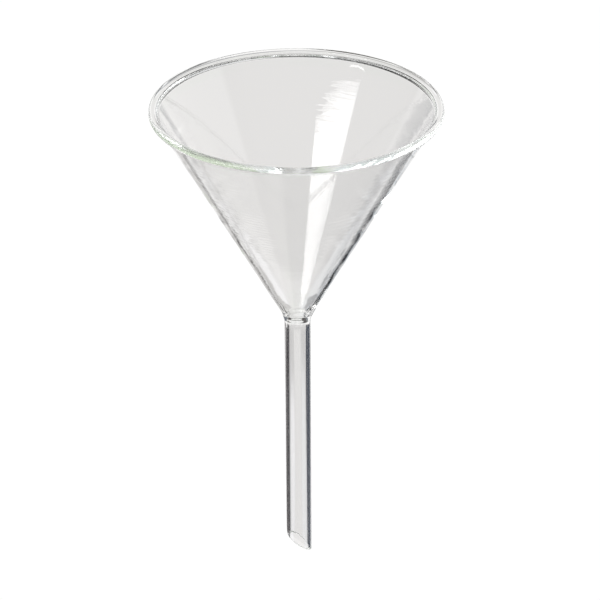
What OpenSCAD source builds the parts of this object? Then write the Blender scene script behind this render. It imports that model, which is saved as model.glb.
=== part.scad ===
// Plain conical filter funnel in clear laboratory glass, with a rolled rim
// bead, a flame-sealed neck and a long stem that ends in a slanted drip tip.
// The glass is one fused piece. It is modelled as its four worked sections,
// which meet face to face on planes square to the axis.
// Origin: on the axis, at the top of the straight stem. +Z goes up through
// the mouth, -Z down the stem, and the short side of the tip faces -X.

/* [Mouth] */
// Outside diameter over the rim bead
mouth_d = 100; // [70:1:150]
// Diameter of the rolled bead's round section
bead_d = 2.8; // [2.6:0.1:4]
// How far the bead is set back from the line of the wall's inside face
bead_out = 0.3; // [0:0.1:0.5]
// Radius that blends the bead's underside into the wall
bead_blend = 0.8; // [0.6:0.1:1.5]

/* [Cone] */
// Included angle of the cone's outside
cone_angle = 58.5; // [50:0.5:70]
// Wall thickness just under the bead
wall_rim = 1.3; // [1:0.1:1.6]
// Wall thickness at the foot of the cone
wall_foot = 1.4; // [1.3:0.1:1.7]

/* [Neck] */
// Height of the seal's top above the straight stem
seal_h = 8; // [5:0.5:12]
// Radius of the outer fillet between cone and stem
seal_fillet = 5; // [1:0.5:6]
// Radius that rounds the inside edge where the cone meets the bore
seal_edge = 2; // [0.5:0.5:4]

/* [Stem] */
// Outside diameter of the stem
stem_od = 8.8; // [7.5:0.1:12]
// Diameter of the bore
bore_d = 7.1; // [4:0.1:7.2]
// Length of the straight stem, down to the tip's lowest point
stem_len = 91.8; // [40:0.1:150]
// Slant of the tip, away from a square cut
tip_angle = 36; // [20:1:50]

/* [Hidden] */
$fn = 96;
glass = [0.86, 0.93, 0.93, 0.55];
edge_glass = [0.70, 0.85, 0.80, 0.75];

half = cone_angle / 2;
ro = stem_od / 2;
ri = bore_d / 2;
// Height of the corner where the cone's outside line meets the stem's
corner_z = seal_fillet * tan(half / 2);
// Radius at height z of a line a thickness t inside the cone's outside
function wall_r(z, t = 0) = ro + (z - corner_z) * tan(half) - t / cos(half);

// The bead's centre stands bead_off outside the line of the wall's outside face
bead_r = bead_d / 2;
bead_off = bead_r - wall_rim + bead_out;
bead_c = mouth_d / 2 - bead_r;
bead_z = corner_z + (bead_c - ro - bead_off / cos(half)) / tan(half);
// Joints between rim and wall, and between wall and seal
joint_z = bead_z - bead_d * 1.25;
seal_z = seal_h;
// Height where the inside line of the foot reaches the bore
throat_z = corner_z + (ri - ro + wall_foot / cos(half)) / tan(half);

// A point u up the wall and v out of its outside face, from the bead's foot
function by_bead(u, v) = [
    bead_c - (bead_off - v) * cos(half) + u * sin(half),
    bead_z + (bead_off - v) * sin(half) + u * cos(half)];

// Points along an arc, from angle a to angle b
function arc(c, r, a, b, n) = [for (i = [0 : n])
    let (t = a + (b - a) * i / n) [c[0] + r * cos(t), c[1] + r * sin(t)]];

// Rolled bead with the short wall that carries it. The blend under the bead
// touches the wall's outside face and the bead's round section.
module rim_bead() {
    du = sqrt(pow(bead_blend + bead_r, 2) - pow(bead_blend - bead_off, 2));
    turn = atan2(bead_blend - bead_off, du) - 90 - half;
    color(edge_glass) rotate_extrude() polygon(concat(
        [[wall_r(joint_z, wall_rim), joint_z], [wall_r(joint_z), joint_z]],
        arc(by_bead(-du, bead_blend), bead_blend, 180 - half, 180 + turn, 6),
        arc([bead_c, bead_z], bead_r, turn + 8, 180 - half, 32)));
}

module cone_wall() {
    color(glass) rotate_extrude() polygon([
        [wall_r(seal_z, wall_foot), seal_z],
        [wall_r(seal_z), seal_z],
        [wall_r(joint_z), joint_z],
        [wall_r(joint_z, wall_rim), joint_z]]);
}

// Cone foot and stem top as the flame leaves them: filleted outside, and the
// inside edge rounded over into the bore
module neck_seal() {
    e = seal_edge * tan(half / 2);
    color(edge_glass) rotate_extrude() polygon(concat(
        arc([ro + seal_fillet, 0], seal_fillet, 180, 180 - half, 6),
        [[wall_r(seal_z), seal_z], [wall_r(seal_z, wall_foot), seal_z]],
        arc([ri + seal_edge, throat_z - e], seal_edge, 180 - half, 180, 6),
        [[ri, 0]]));
}

// Straight tube, cut on the slant at its lower end
module stem_tube() {
    color(glass) difference() {
        translate([0, 0, -stem_len]) cylinder(h = stem_len, r = ro);
        translate([0, 0, -stem_len - 1]) cylinder(h = stem_len + 2, r = ri);
        translate([ro, 0, -stem_len]) rotate([0, tip_angle, 0])
            translate([-stem_od * 3, -stem_od, -stem_od * 3])
                cube([stem_od * 6, stem_od * 2, stem_od * 3]);
    }
}

rim_bead();
cone_wall();
neck_seal();
stem_tube();
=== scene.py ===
# Looks for the clear glass filter funnel: four fused sections of blown glass on one
# body, a white sweep, and the soft boxes and dark flags that clear glass is lit with.
import math

import bpy
import numpy as np
from mathutils import Matrix, Vector


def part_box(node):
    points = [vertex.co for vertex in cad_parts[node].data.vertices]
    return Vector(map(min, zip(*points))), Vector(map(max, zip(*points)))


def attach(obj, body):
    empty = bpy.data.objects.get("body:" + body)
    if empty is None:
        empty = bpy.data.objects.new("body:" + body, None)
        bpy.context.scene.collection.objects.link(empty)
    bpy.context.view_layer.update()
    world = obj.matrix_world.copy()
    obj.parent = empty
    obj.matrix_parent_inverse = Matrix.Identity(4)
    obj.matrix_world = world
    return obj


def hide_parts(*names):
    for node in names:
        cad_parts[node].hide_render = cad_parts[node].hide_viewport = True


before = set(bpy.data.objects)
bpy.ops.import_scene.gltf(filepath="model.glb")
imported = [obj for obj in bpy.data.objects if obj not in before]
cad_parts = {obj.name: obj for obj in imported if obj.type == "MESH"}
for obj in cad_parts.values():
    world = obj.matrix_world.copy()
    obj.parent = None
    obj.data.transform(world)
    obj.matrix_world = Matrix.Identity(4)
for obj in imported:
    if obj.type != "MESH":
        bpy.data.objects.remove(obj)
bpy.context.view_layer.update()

MM = 0.001
TAU = 2 * math.pi
scene = bpy.context.scene

# ------------------------------------------------------------------ frame
# Sizes of the part, in millimetres. They repeat the driving dimensions of the CAD
# part and are checked against its boxes.
MOUTH_R = 50.0
BEAD_R = 1.4
BEAD_OUT = 0.3
BLEND = 0.8
HALF = math.radians(29.25)
WALL_RIM = 1.3
WALL_FOOT = 1.4
SEAL_Z = 8.0
FILLET = 5.0
EDGE = 2.0
RO = 4.4
RI = 3.55
STEM = 91.8
TIP = math.radians(36)
POLISH = 0.12  # radius of the fire-polished edges at the tip

tan_h, cos_h, sin_h = math.tan(HALF), math.cos(HALF), math.sin(HALF)
CORNER_Z = FILLET * math.tan(HALF / 2)
BEAD_C = MOUTH_R - BEAD_R
BEAD_OFF = BEAD_R - WALL_RIM + BEAD_OUT  # the bead's centre from the wall's outside face
BEAD_Z = CORNER_Z + (BEAD_C - RO - BEAD_OFF / cos_h) / tan_h
JOINT_Z = BEAD_Z - 2.5 * BEAD_R
THROAT_Z = CORNER_Z + (RI - RO + WALL_FOOT / cos_h) / tan_h

for node, which, value in (("rim_bead", "x1", MOUTH_R), ("rim_bead", "z0", JOINT_Z),
                           ("cone_wall", "z0", SEAL_Z), ("cone_wall", "z1", JOINT_Z),
                           ("stem_tube", "z0", -STEM), ("stem_tube", "x1", RO)):
    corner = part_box(node)[int(which[1])]
    found = (corner.x if which[0] == "x" else corner.z) / MM
    if abs(found - value) > 0.05:
        raise RuntimeError(f"{node} {which} is {found:.3f} mm in the frame, not {value:.3f}")


def wall_r(z, t=0.0):
    return RO + (z - CORNER_Z) * tan_h - t / cos_h


# ------------------------------------------------------------------ camera
D = 1400.0
E = math.radians(24.5)
PITCH, YAW, ROLL = math.radians(-2.626), math.radians(0.039), math.radians(-0.262)
FOCAL = 4140.9  # in pixels of a 600 wide frame

c = Vector((0, -D * math.cos(E), D * math.sin(E)))
fwd = -c.normalized()
right = Vector((1, 0, 0))
up = right.cross(fwd)
fwd = (fwd + math.tan(YAW) * right + math.tan(PITCH) * up).normalized()
right = fwd.cross(up).normalized()
up = right.cross(fwd)
r3 = math.cos(ROLL) * right + math.sin(ROLL) * up
u3 = -math.sin(ROLL) * right + math.cos(ROLL) * up
cam_data = bpy.data.cameras.new("camera")
cam_data.sensor_fit = "HORIZONTAL"
cam_data.sensor_width = 36.0
cam_data.lens = FOCAL * 36 / 600
cam_data.clip_start, cam_data.clip_end = 0.05, 50
cam = bpy.data.objects.new("camera", cam_data)
scene.collection.objects.link(cam)
cam.matrix_world = Matrix((
    (r3.x, u3.x, -fwd.x, c.x * MM),
    (r3.y, u3.y, -fwd.y, c.y * MM),
    (r3.z, u3.z, -fwd.z, (c.z + BEAD_Z) * MM),
    (0, 0, 0, 1)))
scene.camera = cam

# ------------------------------------------------------------------ profile
# The glass section's outline as one closed line of straights and arcs, in
# millimetres: up the outside from the top of the stem, over the bead, down the
# inside, round the tip and back up. The glass is always on its left.
half_deg = math.degrees(HALF)


class Straight:
    def __init__(self, p, q):
        self.p, self.q = np.array(p, float), np.array(q, float)
        self.length = float(np.linalg.norm(self.q - self.p))

    def at(self, s):
        t = (self.q - self.p) / self.length
        pts = self.p + s[:, None] * t
        return pts, np.tile([t[1], -t[0]], (len(s), 1))


class Lip(Straight):
    # starts at the bead and eases onto the wall's inside line, size further in
    def __init__(self, p, q, size, reach):
        super().__init__(p, q)
        self.size, self.reach = size, reach

    def at(self, s):
        pts, nrm = super().at(s)
        t = np.clip(s / self.reach, 0, 1)
        e = self.size * (1 - s / self.length) * t * t * (3 - 2 * t)
        slope = self.size * (-t * t * (3 - 2 * t) / self.length + (1 - s / self.length) * 6 * t * (1 - t) / self.reach)
        tangent = (self.q - self.p) / self.length
        return pts + e[:, None] * nrm, (nrm - slope[:, None] * tangent) / np.sqrt(1 + slope ** 2)[:, None]


class Arc:
    # from angle a to angle b in degrees; hollow arcs have the glass outside them
    def __init__(self, centre, r, a, b):
        self.c, self.r, self.a, self.b = np.array(centre, float), r, math.radians(a), math.radians(b)
        self.length = r * abs(self.b - self.a)
        self.p = self.c + r * np.array([math.cos(self.a), math.sin(self.a)])
        self.q = self.c + r * np.array([math.cos(self.b), math.sin(self.b)])

    def at(self, s):
        t = self.a + (self.b - self.a) * s / self.length
        d = np.stack([np.cos(t), np.sin(t)], 1)
        return self.c + self.r * d, d if self.b > self.a else -d


def by_bead(u, v):
    off = BEAD_OFF - v
    return (BEAD_C - off * cos_h + u * sin_h, BEAD_Z + off * sin_h + u * cos_h)


_du = math.sqrt((BLEND + BEAD_R) ** 2 - (BLEND - BEAD_OFF) ** 2)
_turn = math.degrees(math.atan2(BLEND - BEAD_OFF, _du)) - 90 - half_deg
_e = EDGE * math.tan(HALF / 2)

fillet = Arc((RO + FILLET, 0), FILLET, 180, 180 - half_deg)
blend = Arc(by_bead(-_du, BLEND), BLEND, 180 - half_deg, 180 + _turn)
bead = Arc((BEAD_C, BEAD_Z), BEAD_R, _turn, 180 - half_deg)
throat = Arc((RI + EDGE, THROAT_Z - _e), EDGE, 180 - half_deg, 180)
throat.b = math.pi
foot_out, foot_in = (wall_r(SEAL_Z), SEAL_Z), (wall_r(SEAL_Z, WALL_FOOT), SEAL_Z)
top_out, top_in = (wall_r(JOINT_Z), JOINT_Z), (wall_r(JOINT_Z, WALL_RIM), JOINT_Z)
# name of the node, the primitives of its run, and the ring spacing on each
RUNS = [
    ("neck_seal", [(fillet, 0.08), (Straight(fillet.q, foot_out), 0.25)]),
    ("cone_wall", [(Straight(foot_out, top_out), 0.7)]),
    ("rim_bead", [(Straight(top_out, blend.p), 0.25), (blend, 0.07), (bead, 0.12),
                  (Lip(bead.q, top_in, BEAD_OUT, 1.7), 0.1)]),
    ("cone_wall", [(Straight(top_in, foot_in), 0.22)]),
    ("neck_seal", [(Straight(foot_in, throat.p), 0.22), (throat, 0.08), (Straight(throat.q, (RI, 0)), 0.25)]),
    ("stem_tube", [(Straight((RI, 0), (RI, -STEM + POLISH)), 0.9),
                   (Arc((RI + POLISH, -STEM + POLISH), POLISH, 180, 270), 0.07),
                   (Straight((RI + POLISH, -STEM), (RO - POLISH, -STEM)), 0.07),
                   (Arc((RO - POLISH, -STEM + POLISH), POLISH, 270, 360), 0.07),
                   (Straight((RO, -STEM + POLISH), (RO, 0)), 0.9)]),
]

# ------------------------------------------------------------------ hand-blown form
# How far the real surface stands off the ideal one, in millimetres along its normal.
# a is the angle round the axis, 0 at +X. z is the height.


def ramp(x, a, b):
    t = np.clip((x - a) / (b - a), 0, 1)
    return t * t * (3 - 2 * t)


def wave(z, a, length, size, phase, lean=0.0, lean_phase=0.0, uneven=0.0, turns=1):
    # one ring-shaped wave of the blown wall, which wanders a little on its way round
    shift = lean * np.sin(turns * a + lean_phase)
    return size * (1 + uneven * np.sin(a * turns + phase * 1.7)) * np.sin(TAU * (z + shift) / length + phase)


def offset(side, z, a):
    cone = ramp(z, 1.0, 9.0) * (1 - ramp(z, 72.0, 75.5))
    # the waves are strongest on the +X and -X sides, where the paddle bore on the wall
    sides = np.abs(np.cos(a)) ** 8
    calm = 0.06 + 0.94 * sides
    if side > 0:
        d = cone * calm * (
            wave(z, a, 31.0, 0.050, 0.4, 2.0, 0.6, 0.3)
            + wave(z, a, 13.0, 0.030, 2.1, 1.2, 2.6, 0.4)
            + wave(z, a, 6.1, 0.012, 4.0, 0.9, 4.4, 0.5, 2)
            + wave(z, a, 3.3, 0.004, 0.7, 0.7, 1.4, 0.6, 3))
        d = d + cone * sides * 0.014 * np.sin(TAU * z / 7.3 + 9 * a + 1.0) * (0.6 + 0.4 * np.sin(z / 5.1 + a))
        # paddle strokes, which run nearly along the wall
        d = d + cone * sides * (0.6 + 0.4 * np.cos(a)) * 0.020 * np.sin(22 * a + TAU * z / 11.0 + 1.5 * np.sin(z / 6.0))
        # the neck as the flame seal left it: a soft ring, and fuller over it on the +X side
        d = d + 0.36 * np.exp(-((z - 1.3) / 1.5) ** 2)
        d = d + 0.33 * (0.5 + 0.5 * np.cos(a)) * np.exp(-((z - 3.8) / 2.2) ** 2)
    else:
        d = cone * (
            calm * (wave(z, a, 23.0, 0.060, 1.9, 2.4, 3.3, 0.3)
                    + wave(z, a, 9.4, 0.028, 0.2, 1.0, 5.1, 0.4)
                    + wave(z, a, 4.3, 0.008, 3.1, 0.6, 1.2, 0.5, 2)
                    + wave(z, a, 2.3, 0.002, 5.2, 0.6, 3.2, 0.6, 3))
            + sides * 0.016 * np.sin(TAU * z / 9.1 - 11 * a) * (0.6 + 0.4 * np.sin(z / 6.7 + 2 + a))
            + (1 - 0.65 * sides) * (0.3 + 0.7 * ramp(z, 30, 54)) * (wave(z, a, 1.9, 0.0014, 2.0, 0.5, 0.9, 0.7, 3)
                + wave(z, a, 1.25, 0.0013, 0.0, 0.5, 2.2, 0.7, 2)
                + wave(z, a, 0.7, 0.0003, 1.0, 0.8, 0.7, 0.6, 1)))
        # the foot is a little heavier
        d = d + 0.10 * ramp(z, 1.5, 4.0) * (1 - ramp(z, 4.0, 12.0))
    # the drawn stem is a little out of round, more so inside, and wanders along its length
    stem = 1 - ramp(z, -1.5, 0.5)
    if side > 0:
        d = d + stem * (0.11 + 0.0009 * z + 0.012 * np.sin(2 * a + 0.5 + 0.010 * z)
                        + 0.005 * np.sin(3 * a + 1.1 - 0.03 * z))
    else:
        d = d + stem * (-0.03 + 0.028 * np.sin(2 * a + 1.9 + 0.015 * z) + 0.014 * np.sin(3 * a + 4.1 + 0.02 * z)
                        + 0.004 * np.sin(7 * a + 0.05 * z))
    return d


def surface(prim, s, side, a):
    """Points of the real surface, rows along the profile and columns round the axis, in millimetres."""
    (pts, nrm) = prim.at(s)
    r, z = pts[:, :1], pts[:, 1:]
    nr, nz = nrm[:, :1], nrm[:, 1:]
    a = a[None, :]
    d = offset(side, z + 0 * a, a + 0 * z)
    r = r + nr * d
    z = z + nz * d
    # the slanted tip: its height leans with x, and the flame has drawn it in a little
    low = np.clip(-z / STEM, 0, 1.1)
    near = np.exp((-STEM - z) / 1.6) * (z < -STEM * 0.5)
    r = r - 0.20 * near * (0.6 - 0.4 * np.cos(a))
    z = z + (RO - r * np.cos(a)) * math.tan(TIP) * low
    # and the stem hangs a hair out of true
    lean = 0.06 * (1 - ramp(z, -4.0, 6.0)) + 0.0027 * np.maximum(-z, 0)
    return np.stack([r * np.cos(a) + lean, r * np.sin(a), z], -1)


AROUND = 180
angles = np.arange(AROUND) * TAU / AROUND
NUDGE = 2e-3


def rings(run, side, last):
    """Points and unit normals of one run of the profile, as (rings, AROUND, 3)."""
    pts, nrm = [], []
    for k, (prim, step) in enumerate(run):
        n = max(1, round(prim.length / step))
        s = np.linspace(0, prim.length, n + 1)
        if not (last and k == len(run) - 1):
            s = s[:-1]
        # the stem's run turns from the inside to the outside half way along
        sd = side if side else (-1 if k <= 1 else 1)
        p = surface(prim, s, sd, angles)
        ds = surface(prim, s + NUDGE, sd, angles) - surface(prim, s - NUDGE, sd, angles)
        da = surface(prim, s, sd, angles + 1e-4) - surface(prim, s, sd, angles - 1e-4)
        m = np.cross(da, ds)
        m /= np.linalg.norm(m, axis=-1, keepdims=True)
        pts.append(p)
        nrm.append(m)
    return np.concatenate(pts), np.concatenate(nrm)


strips = {}
for k, (node, run) in enumerate(RUNS):
    side = {0: 1, 1: 1, 2: 1, 3: -1, 4: -1, 5: 0}[k]
    p, m = rings(run, side, True)
    strips.setdefault(node, []).append([k, p, m])
# neighbouring runs share their joint ring exactly
order = [s for k in range(6) for ss in strips.values() for s in ss if s[0] == k]
for here, after in zip(order, order[1:] + order[:1]):
    p = (here[1][-1] + after[1][0]) / 2
    m = here[2][-1] + after[2][0]
    m /= np.linalg.norm(m, axis=-1, keepdims=True)
    here[1][-1], after[1][0] = p, p
    here[2][-1], after[2][0] = m, m


def build(name, runs):
    verts, quads, loops, kinds = [], [], [], []
    nverts = 0
    ring_at = []
    for _, p, m in runs:
        n = len(p)
        verts.append(p.reshape(-1, 3))
        base = nverts + np.arange(n * AROUND).reshape(n, AROUND)
        ring_at.append((base[0], base[-1]))
        nxt = np.roll(base, -1, axis=1)
        q = np.stack([base[:-1], nxt[:-1], nxt[1:], base[1:]], -1).reshape(-1, 4)
        flat = m.reshape(-1, 3)
        quads.append(q)
        loops.append(flat[q - nverts])
        kinds += [0] * len(q)
        nverts += n * AROUND
    # flat faces that close the section where the next one is fused on
    if len(runs) == 2:
        caps = [(ring_at[0][1], ring_at[1][0]), (ring_at[1][1], ring_at[0][0])]
    else:
        caps = [(ring_at[0][1], ring_at[0][0])]
    pts = np.concatenate(verts)
    for a_ring, b_ring in caps:
        q = np.stack([a_ring, np.roll(a_ring, -1), np.roll(b_ring, -1), b_ring], -1)
        e1 = pts[q[:, 1]] - pts[q[:, 0]]
        e2 = pts[q[:, 3]] - pts[q[:, 0]]
        m = np.cross(e1, e2)
        m /= np.linalg.norm(m, axis=-1, keepdims=True)
        quads.append(q)
        loops.append(np.repeat(m[:, None, :], 4, axis=1))
        kinds += [1] * len(q)
    quads, loops = np.concatenate(quads), np.concatenate(loops)
    me = bpy.data.meshes.new(name)
    me.from_pydata((pts * MM).tolist(), [], quads.tolist())
    me.polygons.foreach_set("material_index", np.array(kinds, np.int32))
    me.polygons.foreach_set("use_smooth", np.ones(len(kinds), bool))
    me.update()
    me.normals_split_custom_set(loops.reshape(-1, 3).tolist())
    me.validate()
    o = bpy.data.objects.new(name, me)
    scene.collection.objects.link(o)
    return o


# ------------------------------------------------------------------ materials


class Nodes:
    def __init__(self, tree):
        self.t = tree
        tree.nodes.clear()

    def new(self, kind, **sets):
        n = self.t.nodes.new(kind)
        for k, v in sets.items():
            setattr(n, k, v)
        return n

    def put(self, socket, value):
        if isinstance(value, bpy.types.NodeSocket):
            self.t.links.new(value, socket)
        else:
            socket.default_value = value

    def math(self, op, *args, clamp=False):
        n = self.new("ShaderNodeMath", operation=op, use_clamp=clamp)
        for i, v in enumerate(args):
            self.put(n.inputs[i], v)
        return n.outputs[0]

    def smooth(self, x, a, b, lo=0.0, hi=1.0):
        n = self.new("ShaderNodeMapRange", interpolation_type="SMOOTHSTEP")
        for i, v in enumerate((x, a, b, lo, hi)):
            self.put(n.inputs[i], v)
        return n.outputs[0]

    def mix(self, fac, a, b):
        n = self.new("ShaderNodeMix", data_type="RGBA")
        self.put(n.inputs[0], fac)
        self.put(n.inputs[6], a)
        self.put(n.inputs[7], b)
        return n.outputs[2]


def glass(name, pale, deep, depth):
    m = bpy.data.materials.new(name)
    m.use_nodes = True
    n = Nodes(m.node_tree)
    out = n.new("ShaderNodeOutputMaterial")
    b = n.new("ShaderNodeBsdfPrincipled")
    n.put(out.inputs["Surface"], b.outputs[0])
    b.inputs["IOR"].default_value = 1.473
    b.inputs["Transmission Weight"].default_value = 1.0
    place = n.new("ShaderNodeTexCoord").outputs["Object"]
    # the faint colour of the melt, a touch stronger in some streaks
    streak = n.new("ShaderNodeTexNoise")
    n.put(streak.inputs["Vector"], place)
    n.put(streak.inputs["Scale"], 60.0)
    n.put(streak.inputs["Detail"], 3.0)
    tint = n.smooth(streak.outputs["Fac"], 0.35, 0.65, 0.0, depth)
    n.put(b.inputs["Base Color"], n.mix(tint, pale, deep))
    # polished by the flame: almost no roughness, a trace more where it has been handled
    touch = n.new("ShaderNodeTexNoise")
    n.put(touch.inputs["Vector"], place)
    n.put(touch.inputs["Scale"], 140.0)
    n.put(touch.inputs["Detail"], 5.0)
    n.put(b.inputs["Roughness"], n.smooth(touch.outputs["Fac"], 0.5, 0.8, 0.0, 0.006))
    return m


def fused(name):
    # a joint inside the fused glass: nothing is seen there
    m = bpy.data.materials.new(name)
    m.use_nodes = True
    b = m.node_tree.nodes["Principled BSDF"]
    b.inputs["Base Color"].default_value = (1, 1, 1, 1)
    b.inputs["Alpha"].default_value = 0.0
    b.inputs["IOR"].default_value = 1.473
    return m


clear = glass("clear_glass", (0.998, 0.998, 0.997, 1), (0.990, 0.992, 0.989, 1), 0.5)
edge = glass("edge_glass", (0.994, 0.998, 0.993, 1), (0.970, 0.988, 0.972, 1), 0.6)
joint = fused("fused_joint")

for node, slot, mat in (("rim_bead", "edge_glass", edge), ("cone_wall", "clear_glass", clear),
                        ("neck_seal", "edge_glass", edge), ("stem_tube", "clear_glass", clear)):
    piece = build("glass_" + node, strips[node])
    piece.data.materials.append(mat)
    piece.data.materials.append(joint)
    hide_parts(node)
    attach(piece, "root")

# ------------------------------------------------------------------ light
# The camera sees a white sweep. The glass sees the studio: a broad white panel
# behind it, dark flags to both sides of that panel, soft boxes and a pale table.
world = bpy.data.worlds.new("studio")
scene.world = world
world.use_nodes = True
n = Nodes(world.node_tree)
d = n.new("ShaderNodeTexCoord").outputs["Generated"]
sep = n.new("ShaderNodeSeparateXYZ")
n.put(sep.inputs[0], d)
x, y, z = sep.outputs
az = n.math("MULTIPLY", n.math("ARCTAN2", x, y), 180 / math.pi)  # 0 looks along +Y, 90 along +X
el = n.math("MULTIPLY", n.math("ARCSINE", n.math("MAXIMUM", n.math("MINIMUM", z, 1.0), -1.0)), 180 / math.pi)


def between(v, a, b, soft):
    return n.math("MULTIPLY", n.smooth(v, a - soft, a + soft), n.smooth(v, b - soft, b + soft, 1.0, 0.0))


def patch(col, az0, width, el0, el1, rgb, soft=2.0, esoft=2.0):
    turn = n.math("WRAP", n.math("SUBTRACT", az, az0), -180.0, 180.0)
    f = n.math("MULTIPLY", between(turn, -width, width, soft), between(el, el0, el1, esoft))
    return n.mix(f, col, (*rgb, 1))


def over(col, mask, rgb):
    return n.mix(mask, col, (*rgb, 1))


def every(*masks):
    f = masks[0]
    for m in masks[1:]:
        f = n.math("MULTIPLY", f, m)
    return f


# straight behind the camera is 0 here, and the far wall of the cone mirrors the
# height "sight" for each direction round
back = n.math("WRAP", n.math("SUBTRACT", az, 180.0), -180.0, 180.0)
sight = n.math("SUBTRACT", el, n.math("MULTIPLY_ADD", n.math("MULTIPLY", back, back), -0.00185, 34.0))
side = n.math("ABSOLUTE", back)

col = (0.012, 0.012, 0.016, 1)
# table: white in front, grey to the left, and to the right a dark card and more white
col = over(col, n.smooth(el, -32.0, -34.0), (1.00, 0.99, 0.985))
col = over(col, every(n.smooth(el, -34.0, -38.0), between(az, -180, -33, 3.0)), (0.52, 0.51, 0.50))
col = over(col, every(between(el, -48, -37.0, 1.5), between(az, -30, -21.5, 1.5)), (0.05, 0.047, 0.045))
col = over(col, every(between(el, -60, -47, 2.0), between(az, -46, -42, 1.0)), (0.12, 0.11, 0.10))
col = over(col, every(between(el, -75, -52, 2.0), between(az, -40, -8, 2.0)), (0.06, 0.055, 0.05))
col = over(col, every(between(el, -90, -48, 4.0), between(az, 36, 96, 3.0)), (0.30, 0.30, 0.31))
col = over(col, every(between(el, -38.5, -33.0, 1.0), between(az, 13, 20, 2.0)), (0.60, 0.65, 0.69))
col = over(col, every(between(el, -53, -37.0, 1.5), between(az, 17.5, 36, 2.0)), (0.020, 0.022, 0.028))
col = n.mix(n.smooth(el, -81.0, -83.0), col, (0.20, 0.20, 0.20, 1))
# dark flags to both sides, where the stem bends the view out to
col = over(col, every(between(el, -32.5, -25.5, 1.0), between(az, 16, 62, 2.0)), (0.085, 0.098, 0.125))
col = over(col, every(between(el, -32.5, -25.5, 1.0), between(az, 27, 40, 3.0)), (0.055, 0.062, 0.075))
# the white sweep behind, its middle in shade
WHITE = (1.03, 1.02, 1.015)
GREY = (0.785, 0.775, 0.767)
col = over(col, every(between(az, -62, 62, 4.0), between(el, -24.5, 29.0, 1.5)), (0.98, 0.97, 0.965))
col = over(col, every(between(az, -23, 17, 1.0), between(el, -33.0, -22.0, 1.0)), (0.40, 0.385, 0.385))
col = over(col, every(between(az, -17.5, 17.0, 1.0), between(el, -33.0, -22.0, 1.5)), (0.84, 0.84, 0.85))
col = over(col, every(between(az, -17.5, 17.0, 1.0), between(el, -29.0, -22.0, 0.7)), (0.73, 0.72, 0.715))
col = over(col, every(between(az, -13.0, -4.5, 1.5), between(el, -31.8, -28.3, 0.4)), (1.00, 0.99, 1.00))
col = over(col, every(between(az, 3.5, 12.0, 1.5), between(el, -31.8, -28.0, 0.4)), (0.93, 0.93, 0.935))
col = over(col, every(between(az, -24.0, 0.0, 2.0), between(el, -43.0, -31.8, 0.8)), (0.60, 0.59, 0.58))
col = over(col, every(between(az, 0.0, 15.0, 2.0), between(el, -43.0, -31.8, 0.8)), (0.50, 0.50, 0.51))
col = over(col, every(between(az, -4.2, 3.4, 1.0), between(el, -32.5, -26.0, 0.5)), (0.880, 0.868, 0.860))
col = over(col, every(between(az, -17, 17, 3.0), between(el, -27.15, -20.0, 0.35)), GREY)
col = over(col, every(between(az, -17, 17, 3.0), between(el, -21.0, -9.0, 1.5)), (0.93, 0.92, 0.915))
col = over(col, every(between(az, -17, 9, 2.0), between(el, -13.0, -8.5, 1.0)), (0.020, 0.015, 0.014))
wide = n.math("ABSOLUTE", az)
col = over(col, every(between(wide, 5.0, 17.0, 1.5), between(el, -13.0, 4.0, 1.5)), (0.025, 0.020, 0.018))
col = over(col, every(between(wide, 17.0, 60.0, 3.0), between(el, -9.5, 4.0, 1.5)), (0.08, 0.10, 0.13))
col = over(col, every(between(az, 4, 15, 1.0), between(el, 34.0, 58.0, 1.0)), (0.85, 0.85, 0.87))
# the pale room behind the camera and to the sides, a little green where glass is stacked
tint = n.smooth(back, -6.0, -14.0)
room = n.mix(tint, (0.98, 1.00, 0.98, 1), (0.78, 0.90, 0.70, 1))
room = n.mix(n.smooth(back, 4.0, 12.0), room, (0.92, 1.00, 1.00, 1))
col = n.mix(every(between(side, -64, 64, 5.0), between(el, 2, 52, 4.0)), col, room)
col = over(col, every(between(back, -60, 62, 5.0), between(sight, -2.5, 5, 0.7)), (0.62, 0.61, 0.60))
col = over(col, every(between(side, 52, 120, 5.0), between(sight, -14, 4, 3.0)), (0.56, 0.55, 0.54))
# panels for the other sides
col = patch(col, -45, 9, -27.4, -17, WHITE, 1.0, 0.5)
col = patch(col, -44, 4, -31.5, -27.4, (0.34, 0.32, 0.32), 1.0, 0.5)
col = patch(col, 135, 10, -21, -9, WHITE, 1.0, 2.0)
col = patch(col, 180, 9, -18, -3, WHITE, 1.0, 2.0)
col = patch(col, -90, 10, -13, 6, WHITE, 1.0, 2.0)
# fill from the right of the camera, low and wide
col = over(col, every(between(az, 34, 112, 3.0), n.smooth(el, -24.0, -20.0), n.smooth(sight, 9.0, 3.0)), (1.18, 1.17, 1.16))

seen = n.new("ShaderNodeBackground")
n.put(seen.inputs[0], n.mix(n.new("ShaderNodeLightPath").outputs["Is Camera Ray"], col, (1.02, 1.02, 1.02, 1)))
n.put(seen.inputs[1], 1.0)
n.put(n.new("ShaderNodeOutputWorld").inputs[0], seen.outputs[0])
world.cycles.sampling_method = "NONE"

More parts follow.
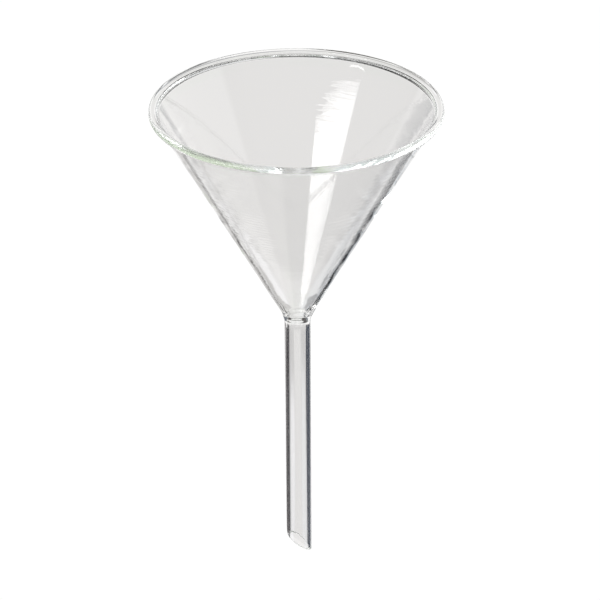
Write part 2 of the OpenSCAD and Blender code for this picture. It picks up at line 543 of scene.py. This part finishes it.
# ------------------------------------------------------------------ soft box
# It stands near the glass, so its top edge cuts the streak it makes on the wall. Only
# the glass sees it.
away = Vector((math.sin(math.radians(-150)), math.cos(math.radians(-150)), 0))
along = Vector((away.y, -away.x, 0))
m = bpy.data.materials.new("soft_box")
m.use_nodes = True
nl = Nodes(m.node_tree)
lamp = nl.new("ShaderNodeEmission")
nl.put(lamp.inputs[0], (1.0, 1.0, 1.0, 1))
nl.put(lamp.inputs[1], 4.8)
nl.put(nl.new("ShaderNodeOutputMaterial").inputs["Surface"], lamp.outputs[0])
for k, (x0, x1, z0, z1, rise) in enumerate(((-50, 262, 170, 340, 0), (158, 284, 350.5, 351.6, 1.0))):
    me = bpy.data.meshes.new(f"soft_box_{k}")
    pts = [away * 400 + along * x + Vector((0, 0, z)) for x, z in ((x0, z0 + rise), (x1, z0), (x1, z1), (x0, z1 + rise))]
    me.from_pydata([tuple(p * MM) for p in pts], [], [(0, 1, 2, 3)])
    panel = bpy.data.objects.new(f"soft_box_{k}", me)
    scene.collection.objects.link(panel)
    me.materials.append(m)
    panel.visible_camera = False

# ------------------------------------------------------------------ floor
floor_z = (-STEM - 3.0) * MM
me = bpy.data.meshes.new("floor")
me.from_pydata([(-6, -6, floor_z), (6, -6, floor_z), (6, 6, floor_z), (-6, 6, floor_z)], [], [(0, 1, 2, 3)])
floor = bpy.data.objects.new("floor", me)
scene.collection.objects.link(floor)
m = bpy.data.materials.new("floor")
m.use_nodes = True
nf = Nodes(m.node_tree)
em = nf.new("ShaderNodeEmission")
nf.put(em.inputs[0], (1.0, 1.0, 1.0, 1))
nf.put(em.inputs[1], 1.02)
nf.put(nf.new("ShaderNodeOutputMaterial").inputs["Surface"], em.outputs[0])
floor.data.materials.append(m)
for ray in ("visible_diffuse", "visible_glossy", "visible_transmission", "visible_shadow", "visible_volume_scatter"):
    setattr(floor, ray, False)

# ------------------------------------------------------------------ render
scene.view_settings.view_transform = "Standard"
scene.view_settings.look = "None"
cy = scene.cycles
cy.max_bounces = 1024
cy.transmission_bounces = 1024
cy.glossy_bounces = 1024
cy.transparent_max_bounces = 1024
cy.diffuse_bounces = 1
cy.caustics_reflective = True
cy.caustics_refractive = True
cy.blur_glossy = 0.0
